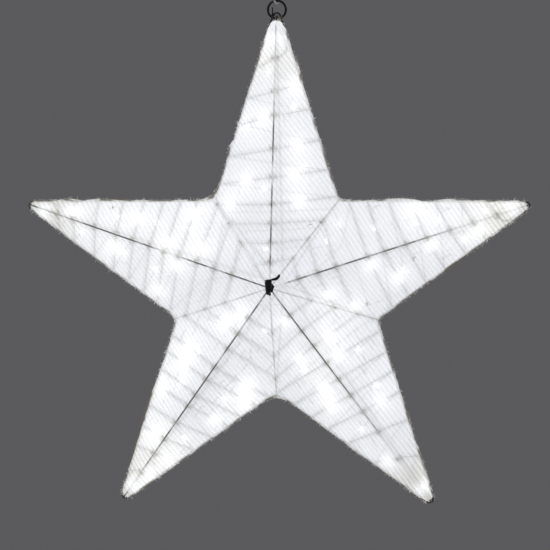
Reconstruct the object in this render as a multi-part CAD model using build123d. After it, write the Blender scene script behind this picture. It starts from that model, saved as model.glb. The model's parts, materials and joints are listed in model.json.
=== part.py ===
"""A five-pointed light star of 60 cm: a wire frame with a string of lamps, under a stretched fabric cover.

Millimetres, +Z up, +X to the viewer's right, the front towards -Y. The star hangs from a ring, and the
ring from an S-shaped hook. The origin is the place where the hook's upper bend rests on what holds it.
"""

import math
import os

from build123d import *

# The star's outline, over the fabric and the bare wire ends
star_width = 600.0          # left tip to right tip
fabric_corner_radius = 127.9  # centre to the inner corners of the fabric
hub_height = 65.0           # middle plane to the frame's lines where they meet, front and back
top_reach = 9.6             # how much further the top tip stands out than the others
arms = 5

# Frame of round steel wire
wire_d = 2.4
tip_bend = 4.6              # centreline radius of the outline's bend in each tip
corner_bend = 3.0           # centreline radius of the outline's inner corners
loop_bend = 2.4             # centreline radius where a ridge or valley wire turns back
weld_gap = 0.3              # between wires that are joined end to side
hub_d = 11.0
hub_thickness = 5.4
hub_edge = 1.5
hub_drop = 0.5              # the hub's face lies this far under the frame's lines
hub_gap = 0.25

# Fabric cover
fabric_thickness = 0.7
fabric_gap = 0.8            # between the wires and the fabric
tip_bare = 6.5              # length of the wire tips that the fabric leaves bare
top_bare_front = 10.5       # the same at the top tip, where the ring passes, in front
top_bare_back = 25.0        # and at the back, where the eye spreads

# Hanging ring, the eye that it passes through, and the hook
ring_d = 21.4               # through the middle of its wire
ring_wire_d = 2.7
ring_rise = 2.86            # the top tip's end to the ring's centre
ring_side_gap = 0.6         # between the ring and the outline's wire in front of it
link_gap = 0.3              # between two linked wires
eye_neck_drop = 25.0        # the top tip's end down to where the ridge wires turn towards the eye
eye_neck_bend = 8.0
hook_wire_d = 2.7
hook_turn = -30.0           # degrees that the hook's plane is turned from the ring's axis
lower_bend = 5.3            # centreline radii of the hook's bends
upper_bend = 7.0
hook_rise = 38.3            # between the outer centrelines of its two bends
lower_tip = 11.3            # length of its two free ends, past the bends' low and high points
upper_tip = 12.0
shank_bend = 3.2
shank_low = 12.3            # where the slanting shank starts and ends, above the lower bend
shank_high = 25.3
bend_fill_share = 0.99      # of a half circle's two corners, so that a short straight is left between them

# Binding wire on the top tip
binding_d = 1.4
binding_sleeve_d = 4.0
binding_length = 3.0
binding_angle = 150.0       # its place on the tip's bend, in degrees from the right
binding_gap = 0.3
binding_tail_x = 4.7
binding_tail_y = 1.9
binding_tail_length = 8.9

# Light string
cord_d = 1.4
clip_gap = 0.1
clip_wall = 0.55
clip_length = 3.4
cord_clip_slack = 0.45      # the clip's groove is wider than the cord, because the cord bends in it
seat_passes = 6             # how often the corners under wires are set anew, as each moves its neighbours
ridge_arc = 8.0             # the cord's bend where it passes under a wire
edge_half = 2.2             # half the height of its turn beside the outline's wire
free_arc = 25.0             # the largest bend of its free stretches
arc_run_share = 0.45        # the share of a run that a bend may take at each end
ring_of_joints = 22.0       # centre to where one arm's stretch of cord meets the next one's
joint_run = 14.0            # straight cord on each side of such a meeting
round_start = 30.0          # centre to the first crossing of the rounds about the hub
round_crossings = 30
gap_step = 2.0              # between the points that the cord's gap to itself is measured on
neighbour_run = 12.0        # stretches of cord nearer than this along it aren't compared
lamp_d = 3.6
lamp_length = 7.0
lamp_rim = 0.8
lamp_bore_gap = 0.1
tip_lamp_drop = 21.4        # the tip's end to the lamp in it
cut_over = 10.0             # how far a cutting body runs past what it cuts

arm_names = ("top", "right", "lower_right", "lower_left", "left")
rounds_side = {"top": -1, "lower_right": 1}  # arms whose cord first goes round a hub: front -1, back 1

# Where the cord crosses each arm's ridge, from the inner corners to the tip, as shares of the tip's radius
crossing_shares = {
    "top": (0.31, 0.41, 0.515, 0.64, 0.73, 0.855),
    "right": (0.375, 0.44, 0.52, 0.60, 0.69, 0.78, 0.87),
    "lower_right": (0.31, 0.38, 0.46, 0.53, 0.61, 0.72, 0.86),
    "lower_left": (0.37, 0.425, 0.50, 0.55, 0.63, 0.71, 0.78, 0.87),
    "left": (0.37, 0.43, 0.49, 0.56, 0.63, 0.72, 0.81, 0.875),
}
# The lamps of each turn's four runs, as shares of the way from ridge to edge, 0 for none: to the left and
# right of the ridge that the turn starts at, then of the other ridge. The last turn has no other ridge.
lamp_shares = {
    "top": (
        (0.74, 0.42, 0.29, 0), (0.5, 0.38, 0, 0.5), (0, 0.52, 0.89, 0), (0.25, 0, 0, 0.5),
        (0, 0.83, 0.5, 0),
    ),
    "right": (
        (0, 0.11, 0.5, 0), (0, 0.6, 0, 0.5), (0, 0, 0.5, 0), (0.85, 0.21, 0.45, 0),
        (0, 0, 0, 0.5), (0, 0.43, 0.52, 0),
    ),
    "lower_right": (
        (0, 0.5, 0.22, 0), (0.5, 0, 0, 0.32), (0, 0.5, 0, 0.5), (0.5, 0, 0.5, 0),
        (0, 0.5, 0, 0), (0, 0, 0, 0.47),
    ),
    "lower_left": (
        (0.6, 0.6, 0, 0.5), (0.8, 0.58, 0.5, 0), (0, 0, 0, 0.5), (0.71, 0.89, 0, 0),
        (0, 0, 0.5, 0), (0, 0.385, 0, 0.5), (0.63, 0, 0, 0), (0.37, 0),
    ),
    "left": (
        (0.15, 0.78, 0, 0.5), (0.78, 0.12, 0.5, 0), (0, 0, 0, 0.5), (0, 0.56, 0.5, 0),
        (0.35, 0, 0, 0.5), (0, 0, 0.5, 0), (0, 0.39, 0, 0),
    ),
}
# The lamps of the rounds about a hub: after which crossing, and the share of the way to the next one
round_lamp_shares = {
    "top": ((4, 0.25), (6, 0.22), (12, 0.6), (16, 0.36), (22, 0.83), (23, 0.7), (24, 0.35),
            (28, 0.22)),
    "lower_right": ((5, 0.4), (11, 0.6), (17, 0.35), (22, 0.5), (27, 0.3)),
}

# Corners of the cord's free stretches, as shares of the tip's radius: across an arm, out along it, in depth
first_reach_shares = ((-0.019, 0.174, 0.0095), (-0.07, 0.279, 0.038))
tip_return_shares = ((0.0101, 0.9575), (-0.0089, 0.9575), (-0.0013, 0.913), (0, 0.19))
# The way from the middle to a hub: across and out as shares of the rounds' start, depth as one of the hub's
round_lead_shares = ((-0.27, 0.9, 0.3), (-0.43, 0.87, 0.58), (-0.4, 0.9, 0.76))

# Values that follow from the sizes above
wire_r = wire_d / 2
cord_r = cord_d / 2
step_angle = 360 / arms
half_step = step_angle / 2
tip_radius = star_width / (2 * math.sin(math.radians(step_angle)))
fabric_in = wire_r + fabric_gap
fabric_out = fabric_in + fabric_thickness
seat = wire_r + clip_gap + clip_wall + cord_r  # a wire's middle to the middle of the cord under it
top_end = tip_radius + top_reach
ring_height = top_end + ring_rise
eye_neck = top_end - eye_neck_drop
ring_r = ring_d / 2
ring_wire_r = ring_wire_d / 2
ring_offset = wire_r + ring_side_gap + ring_wire_r
eye_r = ring_wire_r + link_gap + wire_r
hook_wire_r = hook_wire_d / 2
hook_seat = ring_r - ring_wire_r - link_gap - hook_wire_r
ring_z = -(hook_seat + hook_rise - hook_wire_r)
star_z = ring_z - ring_height
star_place = Pos(0, -ring_offset, star_z)


def at(angle, across, out, depth):
    """A point of the star: out along the arm at an angle from the top, across it to the right, in depth."""
    a = math.radians(angle)
    x = out * math.sin(a) + across * math.cos(a)
    z = out * math.cos(a) - across * math.sin(a)
    return Vector(x, depth, z)


def turn_at(before, corner, after):
    """The angle in degrees by which a route turns at a corner."""
    return (corner - before).get_angle(after - corner)


def round_wire(path, diameter):
    """A round wire along a path."""
    section = Plane(origin=path @ 0, z_dir=path % 0) * Circle(diameter / 2)
    return sweep(section, path=path)


# The outline: straight wires from tangents between the tip bends and the inner corners


def corner_radius():
    """Centre to the crossing of the outline's centrelines at an inner corner, inside the fabric's corner."""
    steep = edge_slope(fabric_corner_radius, 0)
    return fabric_corner_radius - fabric_out / math.sin(math.radians(half_step + steep))


def bend_centre(reach):
    """Centre of the star to the centre of a tip's bend."""
    return tip_radius + reach - wire_r - tip_bend


def edge_slope(corner, reach):
    """The angle between an arm's edge and its middle line."""
    across = corner * math.sin(math.radians(half_step))
    out = corner * math.cos(math.radians(half_step))
    rise = bend_centre(reach) - out
    return math.degrees(math.atan2(across, rise) - math.asin(tip_bend / math.hypot(across, rise)))


def apex_radius(corner, reach):
    """Centre of the star to where the lines of an arm's two edges cross."""
    across = corner * math.sin(math.radians(half_step))
    out = corner * math.cos(math.radians(half_step))
    return out + across / math.tan(math.radians(edge_slope(corner, reach)))


def arm_reach(arm):
    """What an arm adds to the tip radius: only the top one reaches further."""
    return top_reach if arm == 0 else 0


wire_corner = corner_radius()
wire_apexes = [apex_radius(wire_corner, arm_reach(arm)) for arm in range(arms)]
wire_slopes = [math.radians(edge_slope(wire_corner, arm_reach(arm))) for arm in range(arms)]
loop_tip = tip_radius - wire_d - weld_gap - wire_r
valley_tip = wire_corner - wire_r - weld_gap - wire_r
ridge_fall = (hub_height - loop_bend) / loop_tip
valley_fall = (hub_height - loop_bend) / valley_tip


def ridge_depth(out):
    """Depth of the ridge wires' centreline at a distance from the star's centre."""
    return hub_height - ridge_fall * out


def valley_depth(out):
    """The same of the valley wires."""
    return hub_height - valley_fall * out


def edge_across(arm, out):
    """Half the width of the frame's outline at a distance out along an arm."""
    return (wire_apexes[arm] - out) * math.tan(wire_slopes[arm])


def outline_wire():
    """The outline, bent from one wire and closed."""
    points = []
    radii = []
    for arm in range(arms):
        points.append(at(arm * step_angle, 0, wire_apexes[arm], 0))
        points.append(at(arm * step_angle + half_step, 0, wire_corner, 0))
        radii += [tip_bend, corner_bend]
    return round_wire(FilletPolyline(*points, radius=radii, close=True), wire_d)


def wire_start(fall):
    """Where a wire that slants by a fall per length starts, so that its square end clears the hub."""
    return hub_d / 2 + hub_gap + wire_r * math.sin(math.atan(fall))


def side_loop(angle, tip, fall):
    """A wire that runs from the front hub to the outline, turns back there and runs to the back hub."""
    start = wire_start(fall)
    points = [
        at(angle, 0, start, -(hub_height - fall * start)),
        at(angle, 0, tip, -loop_bend),
        at(angle, 0, tip, loop_bend),
        at(angle, 0, start, hub_height - fall * start),
    ]
    half_turn = math.radians(turn_at(*points[:3])) / 2
    bend = arc_run_share * 2 * loop_bend / math.tan(half_turn)
    return round_wire(FilletPolyline(*points, radius=bend), wire_d)


def top_loop():
    """The top arm's ridge wire, which ends in an eye round the ring."""
    start = wire_start(ridge_fall)
    eye_top = ring_height - ring_r + eye_r
    points = [
        at(0, 0, start, -ridge_depth(start)),
        at(0, 0, eye_neck, -ridge_depth(eye_neck)),
        at(0, 0, eye_top, ring_offset - eye_r),
        at(0, 0, eye_top, ring_offset + eye_r),
        at(0, 0, eye_neck, ridge_depth(eye_neck)),
        at(0, 0, start, ridge_depth(start)),
    ]
    eye_bends = []
    for before, corner, after in ((points[1], points[2], points[3]), (points[2], points[3], points[4])):
        half_turn = math.radians(turn_at(before, corner, after)) / 2
        eye_bends.append(min(eye_r, bend_fill_share * eye_r / math.tan(half_turn)))
    path = FilletPolyline(*points, radius=[eye_neck_bend, *eye_bends, eye_neck_bend])
    return round_wire(path, wire_d)


def hub(side):
    """The round plate where ten wires meet, at the front for side -1 and at the back for side 1."""
    middle = hub_height - hub_drop - hub_thickness / 2
    plate = Rot(90, 0, 0) * Cylinder(hub_d / 2, hub_thickness)
    outer = plate.edges().filter_by(GeomType.CIRCLE).sort_by(Axis.Y)[0 if side < 0 else -1]
    return Pos(0, side * middle, 0) * fillet(outer, hub_edge)


# The fabric: a five-pointed tent over the front and one over the back


def tent(offset, side, base):
    """A closed half star that lies an offset outside the frame's lines, from a base depth to its peak."""
    edge = offset
    peak = hub_height + offset / math.cos(math.atan(valley_fall))
    top = Vector(0, side * peak, 0)
    tips = []
    corners = []
    for arm in range(arms):
        apex = wire_apexes[arm] + offset / math.sin(wire_slopes[arm])
        tips.append((arm * step_angle, apex))
        corners.append((arm * step_angle + half_step, wire_corner + offset / math.sin(
            math.radians(half_step) + wire_slopes[arm])))
    rim = [place for pair in zip(tips, corners) for place in pair]
    high = [at(angle, 0, out, side * edge) for angle, out in rim]
    low = [at(angle, 0, out, base) for angle, out in rim]
    faces = [Face(Wire.make_polygon(low, close=True))]
    for i in range(len(rim)):
        j = (i + 1) % len(rim)
        faces.append(Face(Wire.make_polygon([top, high[i], high[j]], close=True)))
        faces.append(Face(Wire.make_polygon([high[i], low[i], low[j], high[j]], close=True)))
    solid = Solid(Shell(faces))
    return solid if solid.volume > 0 else -solid


def cover(side, top_bare):
    """One half of the fabric, as ten flat panels that meet on the ridges and valleys, open at the tips."""
    shell = tent(fabric_out, side, 0) - tent(fabric_in, side, -side * cut_over)
    for arm in range(arms):
        end = tip_radius + arm_reach(arm) - (top_bare if arm == 0 else tip_bare)
        block = Box(star_width, star_width, tip_radius)
        shell -= Rot(0, arm * step_angle, 0) * Pos(0, 0, end + tip_radius / 2) * block
    middle = at(0, 0, 0, 0)
    panels = []
    for i in range(2 * arms):
        sector = Wire.make_polygon([middle, at(i * half_step, 0, star_width, 0),
                                    at((i + 1) * half_step, 0, star_width, 0)], close=True)
        panels += (shell & extrude(Face(sector), amount=star_width, both=True)).solids()
    return Compound(children=panels)


# The light string: a cord that winds out along each arm inside the frame, with lamps and clips


class Route:
    """A cord's route: its corner points and where it is clipped to a wire."""

    def __init__(self, arm):
        self.arm = arm
        self.angle = arm * step_angle
        self.points = []
        self.arcs = []
        self.seats = []

    def free(self, across, out, depth, angle=None):
        """Adds a corner that nothing holds."""
        self.points.append(at(self.angle if angle is None else angle, across, out, depth))
        self.arcs.append(free_arc)
        self.seats.append(None)

    def under(self, angle, out, depth_of, fall, side):
        """Adds a corner that is clipped under a wire."""
        slope = math.atan(fall)
        inward = at(angle, 0, -math.sin(slope), -side * math.cos(slope))
        wire = at(angle, 0, out, side * depth_of(out))
        self.points.append(wire + inward * seat)
        self.arcs.append(ridge_arc)
        self.seats.append((wire, inward, at(angle, 0, math.cos(slope), -side * math.sin(slope))))

    def runs(self, i):
        """The runs before and after a corner."""
        return self.points[i] - self.points[i - 1], self.points[i + 1] - self.points[i]

    def radius(self, i):
        before, after = self.runs(i)
        half_turn = math.radians(before.get_angle(after)) / 2
        return min(self.arcs[i], arc_run_share * min(before.length, after.length) / math.tan(half_turn))

    def bend_reach(self, i):
        """How far a corner's arc reaches along the runs beside it."""
        before, after = self.runs(i)
        return self.radius(i) * math.tan(math.radians(before.get_angle(after)) / 2)

    def settle(self):
        """Moves each corner under a wire outwards, so that its arc and not the corner lies in the clip."""
        for _ in range(seat_passes):
            for i, held in enumerate(self.seats):
                if held:
                    before, after = self.runs(i)
                    half_turn = math.radians(before.get_angle(after)) / 2
                    towards = (after.normalized() - before.normalized()).normalized()
                    wire, inward, along = held
                    in_clip = wire + inward * seat
                    self.points[i] = in_clip - towards * self.radius(i) * (1 / math.cos(half_turn) - 1)

    def path(self):
        """The filleted line."""
        self.radii = [self.radius(i) for i in range(1, len(self.points) - 1)]
        return FilletPolyline(*self.points, radius=self.radii)


def joint_place(angle, way):
    """Where two stretches of cord meet, and the corner a straight run before or after it."""
    meeting = at(angle, 0, ring_of_joints, 0)
    return meeting, meeting + at(angle, 1, 0, 0) * way * joint_run


def start_from_joint(route):
    meeting, corner = joint_place(route.angle - half_step, 1)
    for point in (meeting, corner):
        route.points.append(point)
        route.arcs.append(free_arc)
        route.seats.append(None)


def end_at_joint(route):
    meeting, corner = joint_place(route.angle + half_step, -1)
    for point in (corner, meeting):
        route.points.append(point)
        route.arcs.append(free_arc)
        route.seats.append(None)


def edge_turn(route, hand, out, depths):
    """The cord's turn just inside the outline's wire, with a corner at each depth."""
    across = hand * (edge_across(route.arm, out) - seat / math.cos(wire_slopes[route.arm]))
    for depth in depths:
        route.free(across, out, depth)


def rounds(route, side):
    """The cord's three rounds about a hub, under all ridge and valley wires, out to the arm's first turn."""
    for across_share, out_share, depth_share in round_lead_shares:
        route.free(across_share * round_start, out_share * round_start, side * depth_share * hub_height)
    route.first_round = len(route.points)
    advance = (crossings(route.arm)[0] - round_start) / round_crossings
    for crossing in range(round_crossings):
        distance = round_start + advance * crossing
        angle = route.angle + crossing * half_step
        if crossing % 2:
            out = distance / math.cos(math.radians(half_step))
            route.under(angle, out, valley_depth, valley_fall, side)
        else:
            route.under(angle, distance, ridge_depth, ridge_fall, side)


def first_reach(route, side):
    """The cord's way from the star's middle to the first turn, where it makes no rounds."""
    for across, out, depth in first_reach_shares:
        route.free(across * tip_radius, out * tip_radius, -side * depth * tip_radius)


def crossings(arm):
    """Where the cord crosses an arm's ridge, from the centre outwards."""
    return [share * tip_radius for share in crossing_shares[arm_names[arm]]]


def winding(route, side):
    """The turns along an arm, from its inner corners to its tip, and the straight run back."""
    places = crossings(route.arm)
    gaps = [b - a for a, b in zip(places, places[1:])]
    gaps.append(gaps[-1])
    spans = []
    for place, gap in zip(places, gaps):
        route.under(route.angle, place, ridge_depth, ridge_fall, side)
        ridge = len(route.points) - 1
        if place == places[-1]:
            edge_turn(route, 1, place + gap / 4, [side * edge_half])
            spans.append((ridge, None))
            break
        edge_turn(route, 1, place + gap / 4, [side * edge_half, -side * edge_half])
        route.under(route.angle, place + gap / 2, ridge_depth, ridge_fall, -side)
        back = len(route.points) - 1
        edge_turn(route, -1, place + 3 * gap / 4, [-side * edge_half, side * edge_half])
        spans.append((ridge, back))
    return spans


def tip_return(route):
    """The hairpin in the tip, and the cord's straight way back along the arm's middle."""
    for across, out in tip_return_shares:
        route.free(across * tip_radius, out * tip_radius, 0)


def build_route(arm):
    """An arm's whole stretch of cord, and the spans that carry its lamps."""
    route = Route(arm)
    side = rounds_side.get(arm_names[arm], -1)
    start_from_joint(route)
    if arm_names[arm] in rounds_side:
        rounds(route, side)
    else:
        first_reach(route, side)
        first, second = crossings(arm)[:2]
        edge_turn(route, -1, first - (second - first) / 4, [-side * edge_half, side * edge_half])
    spans = winding(route, side)
    tip_return(route)
    end_at_joint(route)
    route.settle()
    return route, spans


def lamp():
    """A lamp moulded in a bead that the cord runs through."""
    bead = Cylinder(lamp_d / 2, lamp_length)
    bead = fillet(bead.edges().filter_by(GeomType.CIRCLE), lamp_rim)
    return bead - Cylinder(cord_r + lamp_bore_gap, lamp_length + cut_over)


def clip(wire, inward, along, cord_way):
    """A clip of two short crossed sleeves, one on the wire and one on the cord."""
    wire_bore = wire_r + clip_gap
    cord_bore = cord_r + cord_clip_slack
    at_wire = Plane(origin=wire, z_dir=along)
    at_cord = Plane(origin=wire + inward * seat, z_dir=cord_way)
    sleeves = at_wire * Cylinder(wire_bore + clip_wall, clip_length)
    sleeves += at_cord * Cylinder(cord_bore + clip_wall, clip_length)
    holes = at_wire * Cylinder(wire_bore, clip_length + cut_over)
    holes += at_cord * Cylinder(cord_bore, clip_length + cut_over)
    return sleeves - holes


def lamp_place(route, start, end, share):
    """A lamp's place on a run, on its straight part and clear of its clips."""
    run = route.points[end] - route.points[start]
    clear = (lamp_length + clip_length) / 2
    least = route.bend_reach(start) + clear
    most = run.length - route.bend_reach(end) - clear
    reach = sorted((least, share * run.length, most))[1]
    return Plane(origin=route.points[start] + run.normalized() * reach, z_dir=run)


def lamps_on(route, spans):
    """An arm's lamps: those of its turns, those of the rounds about a hub, and one in the tip."""
    master = lamp()
    beads = []
    name = arm_names[route.arm]
    for (ridge, back), shares in zip(spans, lamp_shares[name]):
        ways = ((ridge, -1), (ridge, 1), (back, 1), (back, -1))
        for (start, step), share in zip(ways, shares):
            if share:
                beads.append(lamp_place(route, start, start + step, share) * master)
    for crossing, share in round_lamp_shares.get(name, ()):
        start = route.first_round + crossing
        beads.append(lamp_place(route, start, start + 1, share) * master)
    tip_end, tip_start = route.points[-4], route.points[-5]
    share = (tip_start.length - tip_radius + tip_lamp_drop) / (tip_start.length - tip_end.length)
    place = tip_start + (tip_end - tip_start) * share
    beads.append(Plane(origin=place, z_dir=tip_end - tip_start) * master)
    return Compound(children=beads)


def clips_on(route):
    """The clips at every wire that the cord passes under."""
    clips = []
    for i, held in enumerate(route.seats):
        if held:
            before, after = route.runs(i)
            clips.append(clip(*held, before.normalized() + after.normalized()))
    return Compound(children=clips)


def least_self_gap(path, diameter):
    """The least clear distance between stretches of a cord that aren't neighbours."""
    points = []
    for edge in path.edges():
        pieces = max(2, int(edge.length / gap_step))
        points += [tuple(edge.position_at(i / pieces)) for i in range(pieces)]
    apart = int(neighbour_run / gap_step)
    least = math.inf
    for i, a in enumerate(points):
        for b in points[i + apart:]:
            if abs(a[0] - b[0]) < least and abs(a[1] - b[1]) < least and abs(a[2] - b[2]) < least:
                least = min(least, math.dist(a, b))
    return least - diameter


# Hanging parts


def hanging_ring():
    return Pos(0, 0, ring_z) * Rot(90, 0, 0) * Torus(ring_r, ring_wire_r)


def hanging_hook():
    """The S-shaped hook, in its own plane, then turned about the upright line."""
    low = ring_z + hook_seat
    high = low + hook_rise
    outline = [
        (-lower_bend, low + lower_tip),
        (-lower_bend, low),
        (lower_bend, low),
        (lower_bend, low + shank_low),
        (-upper_bend, low + shank_high),
        (-upper_bend, high),
        (upper_bend, high),
        (upper_bend, high - upper_tip),
    ]
    points = [Vector(0, across, up) for across, up in outline]
    low_bends = [bend_fill_share * lower_bend] * 2
    high_bends = [bend_fill_share * upper_bend] * 2
    path = FilletPolyline(*points, radius=low_bends + [shank_bend] * 2 + high_bends)
    return Rot(0, 0, hook_turn) * round_wire(path, hook_wire_d)


def binding_wire():
    """A twist of binding wire round the top tip's bend, with its tail standing up."""
    a = math.radians(binding_angle)
    centre = Vector(tip_bend * math.cos(a), 0, bend_centre(top_reach) + tip_bend * math.sin(a))
    along = Vector(-math.sin(a), 0, math.cos(a))
    outside = Plane(origin=centre, z_dir=along) * Cylinder(binding_sleeve_d / 2, binding_length)
    hole = Plane(origin=centre, z_dir=along) * Cylinder(wire_r + binding_gap, cut_over)
    tail_middle = Pos(-binding_tail_x, -binding_tail_y, centre.Z + binding_tail_length / 2)
    tail = tail_middle * Cylinder(binding_d / 2, binding_tail_length)
    return outside - hole + tail


def main():
    os.makedirs("parts", exist_ok=True)
    nodes = {
        "hanging_hook": hanging_hook(),
        "hanging_ring": hanging_ring(),
        "outline_wire": star_place * outline_wire(),
        "ridge_wire_top": star_place * top_loop(),
        "front_hub": star_place * hub(-1),
        "back_hub": star_place * hub(1),
        "front_cover": star_place * cover(-1, top_bare_front),
        "back_cover": star_place * cover(1, top_bare_back),
        "binding_wire": star_place * binding_wire(),
    }
    for arm in range(1, arms):
        ridge_wire = side_loop(arm * step_angle, loop_tip, ridge_fall)
        nodes[f"ridge_wire_{arm_names[arm]}"] = star_place * ridge_wire
    for arm in range(arms):
        angle = arm * step_angle + half_step
        nodes[f"valley_wire_{arm + 1}"] = star_place * side_loop(angle, valley_tip, valley_fall)
    total = 0
    for arm, name in enumerate(arm_names):
        route, spans = build_route(arm)
        path = route.path()
        cord = round_wire(path, cord_d)
        expected = math.pi * cord_r ** 2 * path.length
        gap = least_self_gap(path, cord_d)
        total += path.length
        print(f"cord {name}: length {path.length:.0f}, volume {cord.volume:.0f} of {expected:.0f}, "
              f"radii {min(route.radii):.1f} to {max(route.radii):.1f}, least gap to itself {gap:.2f}")
        nodes[f"light_cord_{name}"] = star_place * cord
        nodes[f"lamps_{name}"] = star_place * lamps_on(route, spans)
        nodes[f"cord_clips_{name}"] = star_place * clips_on(route)
    print(f"whole cord {total:.0f}, star centre at {star_z:.2f}, ring centre at {ring_z:.2f}")
    for name, shape in nodes.items():
        export_step(shape, f"parts/{name}.step")


main()
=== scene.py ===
# %% [markdown]
# A light star of steel wire, wound inside with a string of lamps, under a stretched white knit.
#
# Everything is in metres. The frame of this lesson is the packed model: its wires, cord, lamps and
# clips are right as they are and only get a finish. What a solid model can't show is the knit, so the
# knit, its loose fibres and the frayed ends are made here.

import json
import math
import random

import bmesh
import bpy
import numpy as np
from mathutils import Matrix, Vector, noise
from mathutils.kdtree import KDTree


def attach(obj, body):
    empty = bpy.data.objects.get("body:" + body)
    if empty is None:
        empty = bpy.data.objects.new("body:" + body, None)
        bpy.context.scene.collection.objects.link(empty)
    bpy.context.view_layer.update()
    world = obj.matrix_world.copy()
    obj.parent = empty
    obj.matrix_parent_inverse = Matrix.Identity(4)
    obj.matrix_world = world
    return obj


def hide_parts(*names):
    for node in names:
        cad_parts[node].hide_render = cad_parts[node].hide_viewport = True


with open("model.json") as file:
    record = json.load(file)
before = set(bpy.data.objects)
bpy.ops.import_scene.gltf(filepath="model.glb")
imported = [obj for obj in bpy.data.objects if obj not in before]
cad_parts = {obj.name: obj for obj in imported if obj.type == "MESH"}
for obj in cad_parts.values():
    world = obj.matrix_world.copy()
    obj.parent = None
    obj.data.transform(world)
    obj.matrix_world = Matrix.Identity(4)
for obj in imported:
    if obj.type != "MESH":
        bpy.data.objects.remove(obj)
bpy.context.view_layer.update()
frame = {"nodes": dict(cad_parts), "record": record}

# %% [markdown]
# The star's own measures come first. It hangs with its middle straight under the hook. An arm's
# middle line is a ridge, and between two arms lies a valley. The outline is a wire that bends round
# each tip. These few lengths say where its straight lines cross, and everything else follows.

# %% The star's measures
MM = 0.001
SAME_PLACE = 1e-6           # nearer than this two points are one
ARMS = 5
STEP = 2 * math.pi / ARMS
HALF = STEP / 2
CENTRE = Vector((0, -3.15 * MM, -372.55 * MM))
HALF_WIDTH = 300 * MM       # from the middle line to the right tip
TIP_RADIUS = HALF_WIDTH / math.sin(STEP)
TOP_REACH = 9.6 * MM        # how much further the top tip reaches than the others
HUB_HEIGHT = 65 * MM        # how far the hubs stand out to the front and the back
WIRE_R = 1.2 * MM
TIP_BEND = 4.6 * MM         # the radius of the wire's bend in a tip
FABRIC_CORNER = 127.9 * MM  # from the middle to an inner corner of the cloth
FABRIC_OUT = 2.7 * MM       # how far the cloth's edge lies outside the wire's middle
TIP_BARE = 4.4 * MM         # how much of the wire's bend looks out at a tip
TOP_BARE_FRONT, TOP_BARE_BACK = 10.5 * MM, 25 * MM
ARM_NAMES = ("top", "right", "lower_right", "lower_left", "left")


def edge_line(corner, reach):
    """The slope of an arm's edge against its middle line, and how far out the two edges cross."""
    across, out = corner * math.sin(HALF), corner * math.cos(HALF)
    rise = TIP_RADIUS + reach - WIRE_R - TIP_BEND - out
    slope = math.atan2(across, rise) - math.asin(TIP_BEND / math.hypot(across, rise))
    return slope, out + across / math.tan(slope)


WIRE_CORNER = FABRIC_CORNER - FABRIC_OUT / math.sin(HALF + edge_line(FABRIC_CORNER, 0)[0])
EDGES = [edge_line(WIRE_CORNER, TOP_REACH if arm == 0 else 0) for arm in range(ARMS)]
print("inner corner at", round(WIRE_CORNER / MM, 1), "mm, edges cross at",
      [round(apex / MM, 1) for slope, apex in EDGES])


# %% [markdown]
# A point of the star is easiest to say on its arm: how far across, how far out, and how deep. Two
# helpers turn that into the model's own places and back.

# %% Places on the star
def star_point(angle, across, out, depth=0.0):
    """A place of the star: out along the arm at an angle, across to its right, and depth to the back."""
    return CENTRE + Vector((out * math.sin(angle) + across * math.cos(angle), depth,
                            out * math.cos(angle) - across * math.sin(angle)))


def on_arm(place):
    """The arm that a place belongs to, how far across it lies and how far out."""
    flat = place - CENTRE
    angle = math.atan2(flat.x, flat.z)
    arm = round(angle / STEP) % ARMS
    turn = arm * STEP
    across = flat.x * math.cos(turn) - flat.z * math.sin(turn)
    return arm, across, flat.x * math.sin(turn) + flat.z * math.cos(turn)


print("left tip at", [round(x / MM, 1) for x in star_point(-STEP, 0, TIP_RADIUS)])


# %% [markdown]
# The camera stands where the photographer stood: about three metres off, seven degrees to the right
# and two degrees above. The real picture shows that in the hub, which stands out in front and
# therefore seems to lie left of the middle and a little low. A long lens keeps the arms equal.

# %% The camera
CAMERA_TURN = math.radians(7.1)
CAMERA_RISE = math.radians(1.8)
CAMERA_FAR = 3.2
SENSOR = 36
FIELD = 0.6535              # how wide the picture is at the star
AIM = CENTRE + Vector((-1.9, 0, 13.3)) * MM

camera = bpy.data.objects.new("camera", bpy.data.cameras.new("camera"))
bpy.context.scene.collection.objects.link(camera)
level = math.cos(CAMERA_RISE)
back = Vector((math.sin(CAMERA_TURN) * level, -math.cos(CAMERA_TURN) * level, math.sin(CAMERA_RISE)))
camera.location = AIM + back * CAMERA_FAR
camera.rotation_mode = "QUATERNION"
camera.rotation_quaternion = (-back).to_track_quat("-Z", "Y")
camera.data.sensor_width = SENSOR
camera.data.lens = SENSOR * CAMERA_FAR / FIELD
bpy.context.scene.camera = camera
print("lens", round(camera.data.lens), "mm")

# %% [markdown]
# Shaders are written as sums. One small class wraps a socket, so that `1 - mask * 0.5` adds the
# nodes for it, and one method adds any other node. A value that is the same all over a surface is
# set on the shader's own socket, where it also survives the trip into another program.


# %% A small language for finishes
class Value:
    """A socket that can be used in a sum."""

    def __init__(self, finish, socket):
        self.finish, self.socket = finish, socket

    def maths(self, operation, *values):
        return self.finish.maths(operation, *values)

    def __add__(self, other):
        return self.maths("ADD", self, other)

    __radd__ = __add__

    def __mul__(self, other):
        return self.maths("MULTIPLY", self, other)

    __rmul__ = __mul__

    def __sub__(self, other):
        return self.maths("SUBTRACT", self, other)

    def __rsub__(self, other):
        return self.maths("SUBTRACT", other, self)

    def __pow__(self, other):
        return self.maths("POWER", self, other)

    def clamped(self, low=0.0, high=1.0):
        return self.maths("MINIMUM", self.maths("MAXIMUM", self, low), high)

    def rising(self, low, high):
        """0 below low, 1 above high, and an even curve between."""
        return self.finish.add("ShaderNodeMapRange", {"interpolation_type": "SMOOTHSTEP"},
                               {"Value": self, "From Min": low, "From Max": high})["Result"]


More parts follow.
